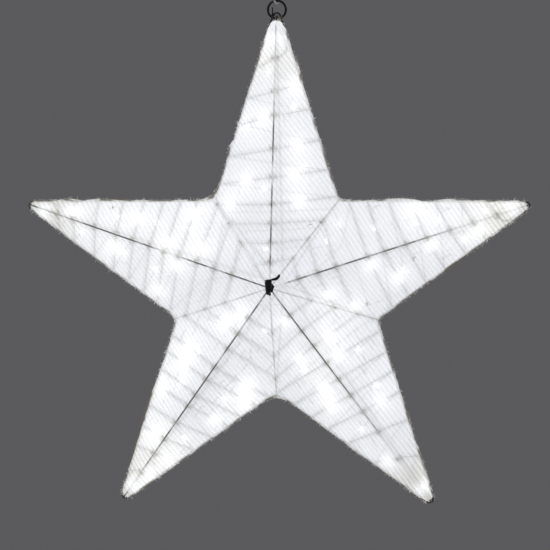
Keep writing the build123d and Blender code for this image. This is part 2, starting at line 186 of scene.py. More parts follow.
class Added:
    """A node that was added. Its outputs are values."""

    def __init__(self, finish, node):
        self.finish, self.node = finish, node

    def __getitem__(self, name):
        return Value(self.finish, self.node.outputs[name])


class Finish:
    """A material or a world while it is being wired."""

    def __init__(self, owner):
        owner.use_nodes = True
        self.owner, self.tree = owner, owner.node_tree
        self.tree.nodes.clear()

    def add(self, kind, settings=None, inputs=None):
        """A node of any kind, with its settings made first and then its sockets."""
        node = self.tree.nodes.new(kind)
        for name, value in (settings or {}).items():
            setattr(node, name, value)
        for name, value in (inputs or {}).items():
            socket = node.inputs[name]
            if isinstance(value, Value):
                self.tree.links.new(value.socket, socket)
            elif hasattr(value, "__len__") and len(value) == 3 and socket.type == "RGBA":
                socket.default_value = (*value, 1)
            else:
                socket.default_value = value
        return Added(self, node)

    def maths(self, operation, *values):
        """A Math node on values and numbers."""
        return self.add("ShaderNodeMath", {"operation": operation}, dict(enumerate(values)))["Value"]

    def place(self, turn=(0, 0, 0), scale=(1, 1, 1)):
        """Object coordinates, turned and scaled."""
        here = self.add("ShaderNodeTexCoord")["Object"]
        return self.add("ShaderNodeMapping", {}, {"Vector": here, "Rotation": turn, "Scale": scale})["Vector"]

    def cloud(self, scale, detail=2.0, roughness=0.5, where=None):
        """Soft random patches between 0 and 1."""
        where = where or self.place()
        return self.add("ShaderNodeTexNoise", {}, {"Vector": where, "Scale": scale, "Detail": detail,
                                                   "Roughness": roughness})["Fac"]

    def blend(self, share, first, second):
        """Two colours mixed. The Mix node's colours are its sockets 6 and 7 and its output 2."""
        return self.add("ShaderNodeMix", {"data_type": "RGBA"}, {0: share, 6: first, 7: second})[2]

    def bump(self, height, strength, depth):
        """A normal from a height, with the depth in metres."""
        sockets = {"Height": height, "Strength": strength, "Distance": depth}
        return self.add("ShaderNodeBump", {}, sockets)["Normal"]

    def surface(self, **values):
        """Closes the material with a principled shader. Names are written with _ for a space."""
        shader = self.add("ShaderNodeBsdfPrincipled", {}, {k.replace("_", " "): v for k, v in values.items()})
        self.add("ShaderNodeOutputMaterial", {}, {"Surface": shader["BSDF"]})
        return self.owner

    def attribute(self, name):
        """A number that the mesh carries on its points."""
        return self.add("ShaderNodeAttribute", {"attribute_name": name})["Fac"]


def new_finish(name):
    """A new material, ready to be wired."""
    return Finish(bpy.data.materials.new(name))


print("sums with a number in front:", [name for name in vars(Value) if name.startswith("__r")])


# %% [markdown]
# The light is soft and low, as in a dim room, because the star lights itself: the knit has to keep
# its shades and not clip. The world gives an even light. To the camera it is a plain grey, and so it
# is in what shines, which is what the two other rays are for. Two large lamps shape the wires.

# %% Light and background
LIGHT_LEVEL = 0.30
LIGHT_COLOUR = (0.97, 0.98, 1.0)
BACKGROUND = (0.104, 0.102, 0.107)


def lit_world():
    """An even soft light that shows as a plain grey."""
    world = bpy.data.worlds.new("studio")
    bpy.context.scene.world = world
    f = Finish(world)
    rays = f.add("ShaderNodeLightPath")
    seen = f.maths("MAXIMUM", rays["Is Camera Ray"], rays["Is Glossy Ray"])
    seen = f.maths("MAXIMUM", seen, rays["Is Transmission Ray"])
    light = f.add("ShaderNodeBackground", {}, {"Color": LIGHT_COLOUR, "Strength": LIGHT_LEVEL})["Background"]
    shown = f.add("ShaderNodeBackground", {}, {"Color": BACKGROUND})["Background"]
    mix = f.add("ShaderNodeMixShader", {}, {0: seen, 1: light, 2: shown})["Shader"]
    f.add("ShaderNodeOutputWorld", {}, {"Surface": mix})


def soft_lamp(name, place, size, watts):
    """A large soft lamp that looks at the star."""
    lamp = bpy.data.objects.new(name, bpy.data.lights.new(name, "AREA"))
    lamp.data.size = size
    lamp.data.energy = watts
    lamp.location = place
    lamp.rotation_euler = (CENTRE - Vector(place)).to_track_quat("-Z", "Y").to_euler()
    bpy.context.scene.collection.objects.link(lamp)


lit_world()
soft_lamp("key", (-0.9, -1.6, 1.2), 0.9, 5.0)
soft_lamp("rim", (1.4, 1.2, 0.8), 0.9, 3.0)
bpy.context.scene.view_settings.view_transform = "Standard"
print("light level", LIGHT_LEVEL)

# %% [markdown]
# The cord, lamps and clips come as many small bodies in one mesh. The knit needs to know where each
# lamp shines and where each clip presses on it, so the middles of those bodies are read off: points
# that an edge joins belong together.


# %% Where the lamps and clips are
def middles(node):
    """The middle of each separate body of a CAD node's mesh."""
    mesh = bmesh.new()
    mesh.from_mesh(frame["nodes"][node].data)
    bmesh.ops.remove_doubles(mesh, verts=mesh.verts, dist=SAME_PLACE)
    seen, found = set(), []
    for start in mesh.verts:
        if start.index in seen:
            continue
        seen.add(start.index)
        group, queue = [], [start]
        while queue:
            vert = queue.pop()
            group.append(vert.co.copy())
            for edge in vert.link_edges:
                other = edge.other_vert(vert)
                if other.index not in seen:
                    seen.add(other.index)
                    queue.append(other)
        lows = [min(p[i] for p in group) for i in range(3)]
        highs = [max(p[i] for p in group) for i in range(3)]
        found.append((Vector(lows) + Vector(highs)) / 2)
    mesh.free()
    return found


def tree_of(places):
    """The places in a tree that finds the near ones fast."""
    tree = KDTree(len(places))
    for i, place in enumerate(places):
        tree.insert(place, i)
    tree.balance()
    return tree


LAMPS = [place for name in ARM_NAMES for place in middles(f"lamps_{name}")]
CLIPS = [place for name in ARM_NAMES for place in middles(f"cord_clips_{name}")]
lamp_tree, clip_tree = tree_of(LAMPS), tree_of(CLIPS)
print("lamps", len(LAMPS), "clips", len(CLIPS))

# %% [markdown]
# The cord runs a few millimetres behind the cloth and shows as thin grey arcs, because it keeps the
# light off. Its middle line is found from its tube: places along the tube's long edges, averaged in
# small cubes, lie near the middle.

# %% Where the cord runs
CUBE = 2.0 * MM
PER_CUBE = 2                # places along an edge in each cube
FEWEST = 3                  # a cube with no more places than this is left out


def cord_places(node):
    """Places near the middle line of a cord's tube."""
    data = frame["nodes"][node].data
    points = np.empty(len(data.vertices) * 3)
    data.vertices.foreach_get("co", points)
    points = points.reshape(-1, 3)
    ends = np.empty(len(data.edges) * 2, dtype=int)
    data.edges.foreach_get("vertices", ends)
    starts, stops = points[ends.reshape(-1, 2)[:, 0]], points[ends.reshape(-1, 2)[:, 1]]
    lengths = np.linalg.norm(stops - starts, axis=1)
    shares = [np.linspace(0, 1, max(2, int(length / CUBE * PER_CUBE))) for length in lengths]
    along = np.concatenate([start + np.outer(share, stop - start)
                            for start, stop, share in zip(starts, stops, shares)])
    owner = np.unique(np.floor(along / CUBE).astype(int), axis=0, return_inverse=True)[1].reshape(-1)
    counts = np.bincount(owner)
    middle = np.stack([np.bincount(owner, along[:, i]) / counts for i in range(3)], axis=1)
    return [Vector(place) for place in middle[counts > FEWEST]]


CORD = [place for name in ARM_NAMES for place in cord_places(f"light_cord_{name}")]
cord_tree = tree_of(CORD)
print("places along the cord", len(CORD))

# %% [markdown]
# The knit is one sleeve on the real star, pulled over the frame and closed along the outline. A
# cloth simulation would only find what is known already: cloth pulled tight over wires lies in flat
# panels that bend over each wire. So a circle of ten flat panels is made a tent, cut fine with
# subdivide_edges, and each point is then laid in place: round the outline wire, over the ridges, and
# in a shallow bridge over the valleys, where cloth can't follow a hollow.

# %% Measures of the knit
CUTS = 66
WRAP_R = 1.5 * MM           # from the outline wire's middle to the cloth round it
SEAM_OUT = 5.0 * MM         # where the tent's rim lies before it is rolled round the wire
ROLL = 4.2 * MM             # how much of the rim is rolled
ROLL_FADE = 45 * MM         # how far in the rolling still draws the cloth
RIDGE_ROUND = 1.2 * MM
PANEL_OUT = 0.8 * MM        # how much further out the panels lie than the rolled rim
PANEL_OVER = 9 * MM         # the distance over which they rise to that
VALLEY_BRIDGE = 9.0 * MM    # half the width of the bridge over a valley at its widest
VALLEY_SLOPE = 0.33
VALLEY_FADE = 60 * MM
CORNER_ROUNDS = (9 * MM, 12 * MM, 22 * MM, 10 * MM, 22 * MM)
CORNER_FILL = 0.236         # how far a rounding fills its corner, as a share of its radius
CORNER_WIDE, CORNER_MORE = 0.85, 4 * MM     # half its width: a share of the radius, and what is added
CORNER_DEEP = 20 * MM
TIP_ENDS = [TIP_RADIUS + TOP_REACH - TOP_BARE_FRONT] + [TIP_RADIUS - TIP_BARE] * 4
BACK_ENDS = [TIP_RADIUS + TOP_REACH - TOP_BARE_BACK] + TIP_ENDS[1:]


def tent(side):
    """Ten flat panels between the hub, the five tips and the five inner corners."""
    mesh = bmesh.new()
    bmesh.ops.create_circle(mesh, cap_ends=True, cap_tris=True, segments=2 * ARMS, radius=1,
                            matrix=Matrix.Translation(CENTRE) @ Matrix.Rotation(side * math.pi / 2, 4, "X"))
    for vert in mesh.verts:
        flat = vert.co - CENTRE
        if flat.length < 0.5:   # the circle's middle, as its rim is 1 away
            vert.co = star_point(0, 0, 0, side * HUB_HEIGHT)
            continue
        place = round(math.atan2(flat.x, flat.z) / HALF) % (2 * ARMS)
        slope, apex = EDGES[place // 2]
        if place % 2:
            out = WIRE_CORNER + SEAM_OUT / math.sin(HALF + EDGES[1][0])
        else:
            out = apex + SEAM_OUT / math.sin(slope)
        vert.co = star_point(place * HALF, 0, out)
    bmesh.ops.subdivide_edges(mesh, edges=mesh.edges, cuts=CUTS, use_grid_fill=True)
    bmesh.ops.triangulate(mesh, faces=mesh.faces)
    return mesh


trial = tent(-1)
print("points", len(trial.verts), "faces", len(trial.faces))
trial.free()

# %% [markdown]
# Each point is laid by two numbers: its distance from the seam, and its distance from the ridge or
# valley beside it. Small uneven waves along the outline, a few pulls, and a rounding in each inner
# corner make the edge that hands and stretch leave on real cloth. A clip under the cloth lifts it.

# %% Laying the knit
PULLS = (  # arm, side of its middle, and in mm: distance out, how far, over what length
    (4, 1, 275, 2.0, 9), (4, 1, 240, 1.8, 14), (4, 1, 258, -1.2, 6), (1, -1, 172, 2.0, 22),
    (1, -1, 238, 1.6, 16), (1, -1, 205, -1.1, 12), (0, -1, 166, 2.4, 8), (0, -1, 178, -1.1, 8),
    (0, 1, 265, 1.2, 14), (3, 1, 200, 1.4, 18), (2, 1, 220, 1.2, 18), (1, 1, 210, -1.1, 16),
    (4, -1, 215, 1.0, 12), (2, -1, 250, -1.0, 14),
)
RIM_WAVES = ((0.7, 24, 3), (0.5, 9, 11))    # how high and how long in mm, and a seed
RIM_FADE = 26 * MM          # how far in the edge's waves still draw the cloth
PANEL_WAVE, PANEL_WAVE_LONG = 0.5 * MM, 30 * MM
RIPPLE, RIPPLE_LONG = 0.16 * MM, 8 * MM
FREE_OF_SEAM, FREE_OF_RIDGE = 14 * MM, 10 * MM      # where the cloth is free to wave
TIGHTEST = -0.4 * MM        # as far in as the cloth can be before the wire is in its way
LIFT = 0.7 * MM             # of the cloth over a clip
LIFT_WIDTH = 4.0 * MM


def waves(place, size, seed):
    """Uneven waves between about -1 and 1."""
    return noise.noise(Vector((place.x / size + seed, place.y / size, place.z / size - seed)))


def rim_wave(arm, across, out, place):
    """How far the outline stands out here, past its straight line."""
    hand = 1 if across > 0 else -1
    flat = Vector((place.x, 0, place.z))
    total = sum(high * MM * waves(flat, long * MM, seed) for high, long, seed in RIM_WAVES)
    for pull_arm, pull_hand, pull_out, far, length in PULLS:
        if pull_arm == arm and pull_hand == hand:
            total += far * MM * math.exp(-((out - pull_out * MM) / (length * MM)) ** 2)
    return max(total, TIGHTEST)


def fading(distance, reach, power=2.0):
    """1 at no distance and 0 from the reach on."""
    return max(0.0, 1 - distance / reach) ** power


def lay(place, side):
    """Where a point of the tent ends up, and how far it is from the seam."""
    arm, across, out = on_arm(place)
    slope, apex = EDGES[arm]
    square = math.pi / 2 - slope
    reach = apex * math.sin(slope)
    fall = math.atan2(HUB_HEIGHT, reach)
    inward = out * math.cos(square) + abs(across) * math.sin(square)
    from_seam = reach + SEAM_OUT - inward
    if from_seam < ROLL:
        bend = (math.pi / 2 - fall) * from_seam / ROLL
        laid = reach + WRAP_R * math.cos(bend)
        depth = WRAP_R * math.sin(bend)
    else:
        drawn = SEAM_OUT - ROLL - WRAP_R * math.sin(fall)
        laid = inward - drawn * fading(from_seam - ROLL, ROLL_FADE, 1)
        depth = (reach - laid) * math.tan(fall) + WRAP_R / math.cos(fall)
    laid += rim_wave(arm, across, out, place) * fading(from_seam, RIM_FADE, 1.5)
    valley_out = out * math.cos(HALF) + abs(across) * math.sin(HALF)
    from_valley = abs(abs(across) * math.cos(HALF) - out * math.sin(HALF))
    corner = CORNER_ROUNDS[(arm if across > 0 else arm - 1) % ARMS]
    wide = CORNER_WIDE * corner + CORNER_MORE
    laid += CORNER_FILL * corner * fading(from_valley, wide) * fading(from_seam, CORNER_DEEP)
    flat = (place - CENTRE) * (laid / inward if inward > SAME_PLACE else 1)
    ridge_slope = math.tan(fall) * math.sin(square)
    depth += ridge_slope * (abs(across) - math.hypot(across, RIDGE_ROUND))
    along = min(1.0, max(0.0, valley_out / WIRE_CORNER))
    bridge = VALLEY_BRIDGE * math.sin(math.pi * along) ** 0.8 if 0 < along < 1 else 0
    bridged = math.hypot(from_valley, bridge) - from_valley
    depth += VALLEY_SLOPE * bridged * fading(from_valley, VALLEY_FADE, 1)
    depth += PANEL_OUT * (1 - fading(from_seam - ROLL, PANEL_OVER, 1)) if from_seam > ROLL else 0
    free = (1 - fading(from_seam, FREE_OF_SEAM, 1)) * (1 - fading(abs(across), FREE_OF_RIDGE, 1))
    ripple = RIPPLE * waves(place, RIPPLE_LONG, 7)
    depth += free * (PANEL_WAVE * waves(place, PANEL_WAVE_LONG, 5 * side) + ripple)
    spot = CENTRE + Vector((flat.x, side * depth, flat.z))
    clip, _, far = clip_tree.find(spot)
    if far < 3 * LIFT_WIDTH:
        spot.y += side * LIFT * math.exp(-(math.hypot(spot.x - clip.x, spot.z - clip.z) / LIFT_WIDTH) ** 2)
    return spot, from_seam


middle_point = lay(star_point(0, 1 * MM, 50 * MM, -60 * MM), -1)[0]
print("a point over the middle lands at", [round(x / MM, 1) for x in middle_point])

# %% [markdown]
# The knit carries what its finish needs as numbers on its points: how strongly the lamps behind it
# light it, how near a clip or the cord is, and how near it is to a wire. Lamp light falls off with
# distance and the cloth spreads it, so each lamp gives a soft round spot.

# %% Light, marks and wires as numbers
SPOT = 11.5 * MM
HAZE = 34 * MM
MARK = 3.6 * MM
CORD_HALF = 1.5 * MM        # half the width of the cord's shade on the cloth
WASHED = (  # where a ridge wire hardly shows: arm, and in mm the distance out and half the length
    (0, 14, 12), (0, 133, 14), (0, 250, 34), (0, 317, 9), (1, 12, 10), (1, 262, 62), (2, 264, 56),
    (3, 291, 12), (4, 128, 20),
)
CORD_DEEP = 15 * MM         # how far behind the cloth a cord still shades it
BRIGHT_FROM, BRIGHT_OVER = 250 * MM, 50 * MM    # the top arm's end is evenly bright
NUMBERS = ("glow", "haze", "mark", "cord", "shown", "from_ridge", "from_valley", "from_seam", "out",
           "bright")


def level_distance(place, other, normal):
    """How far another place is, seen square to the cloth, and how deep behind the cloth it lies."""
    way = place - other
    deep = way.dot(normal)
    return (way - normal * deep).length, abs(deep)


def cord_shade(place, normal):
    """How much the cord behind the cloth shades it, from 0 to 1."""
    found = cord_tree.find_n(place, 2)
    if found[0][2] > CORD_DEEP:
        return 0
    first, second = found[0][0], found[1][0]
    along = second - first
    along -= normal * along.dot(normal)
    way = place - first
    deep = way.dot(normal)
    way -= normal * deep
    if along.length > SAME_PLACE:
        way -= along * (way.dot(along) / along.length_squared)
    return math.exp(-(way.length / CORD_HALF) ** 2) * fading(abs(deep), CORD_DEEP, 0.7)


def numbers_at(place, normal, from_seam):
    """What the finish wants to know about a point of the cloth."""
    arm, across, out = on_arm(place)
    lamps = [distance for _, _, distance in lamp_tree.find_range(place, 3 * HAZE)]
    near = [spot for spot, _, _ in clip_tree.find_range(place, 4 * MARK)]
    clips = [level_distance(place, spot, normal)[0] for spot in near]
    washed = [1 / (1 + (abs(out - middle * MM) / (half * MM)) ** 6)
              for washed_arm, middle, half in WASHED if washed_arm == arm]
    return {"glow": sum((1 + (d / SPOT) ** 2) ** -2 for d in lamps),
            "haze": sum(math.exp(-(d / HAZE) ** 2) for d in lamps),
            "mark": max((math.exp(-(d / MARK) ** 2) for d in clips), default=0),
            "cord": cord_shade(place, normal), "shown": 1 - max(washed, default=0),
            "from_ridge": abs(across), "from_seam": from_seam, "out": out,
            "from_valley": abs(abs(across) * math.cos(HALF) - out * math.sin(HALF)),
            "bright": min(1, max(0, (out - BRIGHT_FROM) / BRIGHT_OVER)) if arm == 0 else 0}


print("numbers", NUMBERS)

# %% [markdown]
# In front the sleeve has a small slit, where the binding of the five ridge wires stands out. It could
# be cut with a knife tool, but then its edge would be a row of chips. Instead the middle point is
# taken away and the points round it are pushed outwards, so that the mesh flows round the slit.

# %% The slit over the hub
SLIT_ACROSS, SLIT_UP = 3.9 * MM, 9.2 * MM
SLIT_SHARP = 2.5            # how soon the push fades away from the slit
SLIT_FADE = 12              # in slit sizes, where the push ends


def open_slit(mesh):
    """Pushes the points round the middle outwards and takes the middle away."""
    for vert in list(mesh.verts):
        flat = vert.co - CENTRE
        share = math.hypot(flat.x / SLIT_ACROSS, flat.z / SLIT_UP)
        if share < SAME_PLACE:
            mesh.verts.remove(vert)
        elif share < SLIT_FADE:
            scale = (share ** SLIT_SHARP + 1) ** (1 / SLIT_SHARP) / share
            vert.co.x, vert.co.z = CENTRE.x + flat.x * scale, CENTRE.z + flat.z * scale


print("slit", round(2 * SLIT_ACROSS / MM, 1), "by", round(2 * SLIT_UP / MM, 1), "mm")

# %% [markdown]
# The cord's shade is only three millimetres wide, and the numbers on the points have to be close
# enough together to draw it. A finer mesh everywhere would be heavy, so only the faces over the cord
# are cut finer, which gives the shade clean edges.

# %% Cutting finer along the cord
NEAR_CORD = 2.6 * MM        # the faces this near to the cord are cut finer
CORD_BELOW = 9 * MM         # and only where the cord is this near to the cloth
FINER = 2


def panel_normal(place, side):
    """Which way the panel at a place of the star faces."""
    arm, across, _ = on_arm(place)
    slope, apex = EDGES[arm]
    square = math.pi / 2 - slope
    fall = math.atan2(HUB_HEIGHT, apex * math.sin(slope))
    outward = star_point(arm * STEP + math.copysign(square, across), 0, 1) - CENTRE
    return (outward * math.sin(fall) + Vector((0, side * math.cos(fall), 0))).normalized()


def cut_along_cord(mesh, side):
    """Cuts the faces over the cord finer."""
    near = set()
    for vert in mesh.verts:
        place, _ = lay(vert.co, side)
        normal = panel_normal(place, side)
        if any(level_distance(place, spot, normal)[0] < NEAR_CORD
               for spot, _, _ in cord_tree.find_range(place, CORD_BELOW)):
            near.add(vert)
    edges = [edge for edge in mesh.edges if edge.verts[0] in near and edge.verts[1] in near]
    bmesh.ops.subdivide_edges(mesh, edges=edges, cuts=FINER, use_grid_fill=True)
    bmesh.ops.triangulate(mesh, faces=mesh.faces)


print("a panel of the top arm faces", [round(x, 2) for x in panel_normal(star_point(0, 1, 1), -1)])

# %% [markdown]
# Now the two halves are put together: the tent is slit, cut finer, laid over the frame and given its
# numbers. At each tip it ends where the bare bend of the wire looks out: a plane cuts it off and the
# cut edge is rounded.

# %% The two halves of the knit
END_ROUND = 2.6 * MM
END_DEEP = 9 * MM           # how far in the rounding draws the cloth
END_MOST = 1.2              # the most that a point is drawn in, as a share of END_ROUND
TIP_HALF = 7.0 * MM         # half the width of an arm where the knit ends
KNIT_CUT_AREA = ARMS * EDGES[1][1] * WIRE_CORNER * math.sin(HALF)


def as_piece(name, work):
    """A mesh piece that rides on the star."""
    piece = bpy.data.objects.new(name, bpy.data.meshes.new(name))
    work.to_mesh(piece.data)
    work.free()
    piece.data.shade_smooth()
    bpy.context.scene.collection.objects.link(piece)
    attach(piece, "star")
    return piece


def round_ends(mesh, ends):
    """Draws the corners of the cut ends in."""
    for vert in mesh.verts:
        arm, across, out = on_arm(vert.co)
        near = fading(ends[arm] - out, END_DEEP, 1)
        if near > 0:
            inward = CENTRE - star_point(arm * STEP, 0, 1)
            vert.co += inward * END_ROUND * near * min(END_MOST, (across / TIP_HALF) ** 2)


def knit(name, side, ends, covers):
    """One half of the sleeve, front or back."""
    work = tent(side)
    if side < 0:
        open_slit(work)
    cut_along_cord(work, side)
    layers = {key: work.verts.layers.float.new(key) for key in NUMBERS}
    for vert in work.verts:
        vert.co, from_seam = lay(vert.co, side)
        for key, value in numbers_at(vert.co, panel_normal(vert.co, side), from_seam).items():
            vert[layers[key]] = value
    for arm, end in enumerate(ends):
        bmesh.ops.bisect_plane(work, geom=work.verts[:] + work.edges[:] + work.faces[:], dist=SAME_PLACE,
                               plane_co=star_point(arm * STEP, 0, end),
                               plane_no=star_point(arm * STEP, 0, 1) - CENTRE, clear_outer=True)
    round_ends(work, ends)
    bmesh.ops.triangulate(work, faces=work.faces)
    bmesh.ops.recalc_face_normals(work, faces=work.faces)
    if sum(face.normal.y for face in work.faces) * side < 0:
        bmesh.ops.reverse_faces(work, faces=work.faces)
    piece = as_piece(name, work)
    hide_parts(covers)
    area = sum(face.area for face in piece.data.polygons)
    print(name, len(piece.data.polygons), "faces", round(area, 4), "m2 from", round(KNIT_CUT_AREA, 4))
    return piece


knit_front = knit("knit_front", -1, TIP_ENDS, "front_cover")
knit_back = knit("knit_back", 1, BACK_ENDS, "back_cover")

# %% [markdown]
# Where the five ridge wires meet, they are bound with black wire. Its turns are one small circle,
# spun about the upright with a step up at each turn. They are pulled uneven, and the wire's end
# sticks out to the upper right.

# %% The binding of the front hub
BINDING_WIRE_R = 1.15 * MM
BINDING_COIL_R = 2.7 * MM
BINDING_RISE = 1.9 * BINDING_WIRE_R     # of one turn
BINDING_TURNS = 8
TURN_STEPS = 18
BINDING_ACROSS, BINDING_UP, BINDING_OUT = -1.6 * MM, 0.8 * MM, 0.6 * MM     # from the hub's middle
FOOT_WIDE, GROWING, TOP_WIDE = 0.55, 0.6, 1.15      # the coil is narrow at its foot and widens
GROWN_AT = 0.625            # the share of its height where it is full
WIRE_SIDES = 10
CROOKED, CROOKED_LONG = 0.5 * MM, 4 * MM
UNEVEN, UNEVEN_LONG = 0.4 * MM, 5 * MM
BINDING_TAIL = (  # in mm, from each of the tail's bends to the next
    Vector((0.6, 1.2, 0.2)), Vector((2.0, 0.6, 0.4)), Vector((2.8, -0.2, 0.7)), Vector((1.3, -0.4, 1.2)),
    Vector((1.5, -0.2, 2.2)),
)
TAIL_THICKER = 1.12         # how much the tail thickens at each bend
SAME_WIRE = 1e-7


def faces_of(items):
    """The faces among what an operator gives back."""
    return [item for item in items if isinstance(item, bmesh.types.BMFace)]


def grow_tail(work, end):
    """Draws the wire's end out from bend to bend."""
    for way in BINDING_TAIL:
        grown = bmesh.ops.extrude_face_region(work, geom=end)["geom"]
        tip = [item for item in grown if isinstance(item, bmesh.types.BMVert)]
        bmesh.ops.translate(work, verts=tip, vec=way * MM)
        middle = sum((vert.co for vert in tip), Vector()) / len(tip)
        thicker = (1, TAIL_THICKER, TAIL_THICKER)
        bmesh.ops.scale(work, verts=tip, vec=thicker, space=Matrix.Translation(-middle))
        bmesh.ops.delete(work, geom=end, context="FACES_ONLY")
        end = faces_of(grown)


def hub_binding():
    """Turns of black wire over the hub, with a tail."""
    work = bmesh.new()
    foot = star_point(0, BINDING_ACROSS, -BINDING_TURNS * BINDING_RISE / 2 + BINDING_UP,
                      -HUB_HEIGHT - BINDING_OUT)
    bmesh.ops.create_circle(work, cap_ends=True, segments=WIRE_SIDES, radius=BINDING_WIRE_R,
                            matrix=Matrix.Translation(foot + Vector((BINDING_COIL_R, 0, 0)))
                            @ Matrix.Rotation(math.pi / 2, 4, "X"))
    spun = bmesh.ops.spin(work, geom=work.faces[:], cent=foot, axis=(0, 0, 1),
                          angle=2 * math.pi * BINDING_TURNS, dvec=(0, 0, BINDING_RISE / TURN_STEPS),
                          steps=BINDING_TURNS * TURN_STEPS)
    grow_tail(work, faces_of(spun["geom_last"]))
    bmesh.ops.remove_doubles(work, verts=work.verts, dist=SAME_WIRE)
    for vert in work.verts:
        up = (vert.co.z - foot.z) / (BINDING_TURNS * BINDING_RISE)
        grown = math.sin(math.pi / 2 * min(1.0, max(0.0, up / GROWN_AT)))
        wide = FOOT_WIDE + GROWING * grown if up < 1 else TOP_WIDE
        vert.co.x = foot.x + (vert.co.x - foot.x) * wide
        vert.co.x += CROOKED * waves(vert.co, CROOKED_LONG, 2)
        vert.co.z += UNEVEN * waves(vert.co, UNEVEN_LONG, 8)
    bmesh.ops.recalc_face_normals(work, faces=work.faces)
    return as_piece("hub_binding", work)


binding = hub_binding()
print("binding", len(binding.data.polygons), "faces")

# %% [markdown]
# Knitted yarn is hairy. Against a dark room the hairs along the outline show as a soft fringe, and
# at the tips, where the knit was cut, they are longer. Where a clip holds the cord, threads of
# yarn stick out. Each hair is a curve of a few points, and all hairs of one colour are one mesh.

# %% A hair
rng = random.Random(7)
HAIR_POINTS = 4
HAIR_THINNER = 0.7          # how much of its thickness a hair loses to its end


def new_hairs(radius):
    """An empty curve with a round section of few sides."""
    curve = bpy.data.curves.new("hairs", "CURVE")
    curve.dimensions = "3D"
    curve.bevel_depth = radius
    curve.bevel_resolution = 0
    curve.use_fill_caps = True
    return curve


def any_way():
    """A random direction, of no fixed length."""
    return Vector((rng.uniform(-1, 1), rng.uniform(-1, 1), rng.uniform(-1, 1)))


def hair(curve, root, away, length, curl):
    """One curved hair that gets thinner to its end."""
    away, side = away.normalized(), any_way().normalized()
    spline = curve.splines.new("POLY")
    spline.points.add(HAIR_POINTS - 1)
    for i, point in enumerate(spline.points):
        share = i / (HAIR_POINTS - 1)
        point.co = (*(root + away * length * share + side * length * curl * share ** 2), 1)
        point.radius = 1 - HAIR_THINNER * share


def hair_piece(name, curve):
    """All hairs of a curve as one mesh piece."""
    holder = bpy.data.objects.new(name + "_curve", curve)
    bpy.context.scene.collection.objects.link(holder)
    bpy.context.view_layer.update()
    mesh = bpy.data.meshes.new_from_object(holder)
    bpy.data.objects.remove(holder)
    work = bmesh.new()
    work.from_mesh(mesh)
    return as_piece(name, work)


white_hairs, brown_hairs, clip_hairs = new_hairs(0.17 * MM), new_hairs(0.20 * MM), new_hairs(0.13 * MM)
print("points on a hair", HAIR_POINTS)

# %% [markdown]
# Along the outline the hairs grow from points of the cloth near the seam, outwards and a little any
# way. In a few stretches brown yarn is bound round the edge, and the hairs there are longer.

# %% Hairs along the outline
RIM_HAIRS = 3000
RIM_BAND = 3.0 * MM         # they grow this near to the seam
RIM_HAIR_LONG = 3.0 * MM
RIM_STRAY, BOUND_STRAY = 0.9, 2     # how far a hair's way strays
BOUND_LONG = 2.0, 4.5       # shortest and longest, in mm
BROWN_EACH = 3              # every third hair is brown
BROWN_RIMS = (  # arm, side of its middle, and in mm: from and to, along the arm
    (3, 1, 178, 282), (1, 1, 196, 226), (4, 1, 204, 224),
)
rim_places = []
for piece in (knit_front, knit_back):
    seams = piece.data.attributes["from_seam"].data
    rim_places += [vert.co.copy() for vert in piece.data.vertices if seams[vert.index].value < RIM_BAND]
for i, place in enumerate(rng.sample(rim_places, RIM_HAIRS)):
    arm, across, out = on_arm(place)
    bound = any(arm == rim_arm and across * hand > 0 and low * MM < out < high * MM
                for rim_arm, hand, low, high in BROWN_RIMS)
    square = arm * STEP + math.copysign(math.pi / 2 - EDGES[arm][0], across)
    away = star_point(square, 0, 1) - CENTRE + any_way() * RIM_STRAY
    curve = brown_hairs if bound or i % BROWN_EACH == 0 else white_hairs
    hair(curve, place, away, rng.uniform(0.5, 1) ** 2 * RIM_HAIR_LONG, rng.uniform(0.1, 0.9))
    if bound:
        away += any_way() * BOUND_STRAY
        hair(curve, place, away, rng.uniform(*BOUND_LONG) * MM, rng.uniform(0.3, 1))
print("places for these hairs", len(rim_places))

# %% [markdown]
# At the tips the knit was cut, and cut yarn frays. These hairs point outwards along the arm.

# %% Frayed ends
TIP_HAIRS = 90
TIP_SHARE = 0.85            # of the width of the end
TIP_THICK = 2.6             # half the depth of the sleeve's end, in mm
TIP_STRAY = 0.7
TIP_LONG = 1.0, 3.4
for arm in range(ARMS):
    outward = star_point(arm * STEP, 0, 1) - CENTRE
    for i in range(TIP_HAIRS):
        across = rng.uniform(-TIP_SHARE, TIP_SHARE) * TIP_HALF
        root = star_point(arm * STEP, across, TIP_ENDS[arm] - END_ROUND * (across / TIP_HALF) ** 2,
                          rng.uniform(-TIP_THICK, TIP_THICK) * MM)
        curve = brown_hairs if i % BROWN_EACH == 0 else white_hairs
        away = outward + any_way() * TIP_STRAY
        hair(curve, root, away, rng.uniform(*TIP_LONG) * MM, rng.uniform(0.2, 1))
print("hairs at the tips", ARMS * TIP_HAIRS)

# %% [markdown]
# Where a clip lies under the front cloth, a few pale olive threads stand out of it.

# %% Threads at the clips
CLIP_THREADS = 9
CLIP_WIDE = 1.8             # half the width of their spot, in mm
CLIP_LONG = 1.6, 4.6
CLIP_REACH = 9 * MM         # a clip further from the front cloth has none
cloth_tree = tree_of([vert.co for vert in knit_front.data.vertices])
for clip in CLIPS:
    root, _, far = cloth_tree.find(clip)
    if clip.y >= CENTRE.y or far >= CLIP_REACH:
        continue
    for i in range(CLIP_THREADS):
        away = Vector((rng.uniform(-1, 1), rng.uniform(-0.5, -0.1), rng.uniform(-1, 1)))
        across, up = rng.uniform(-CLIP_WIDE, CLIP_WIDE), rng.uniform(-CLIP_WIDE, CLIP_WIDE)
        start = root + Vector((across, -0.1, up)) * MM
        hair(clip_hairs, start, away, rng.uniform(*CLIP_LONG) * MM, rng.uniform(0.2, 0.8))
print("threads at the clips", len(clip_hairs.splines))

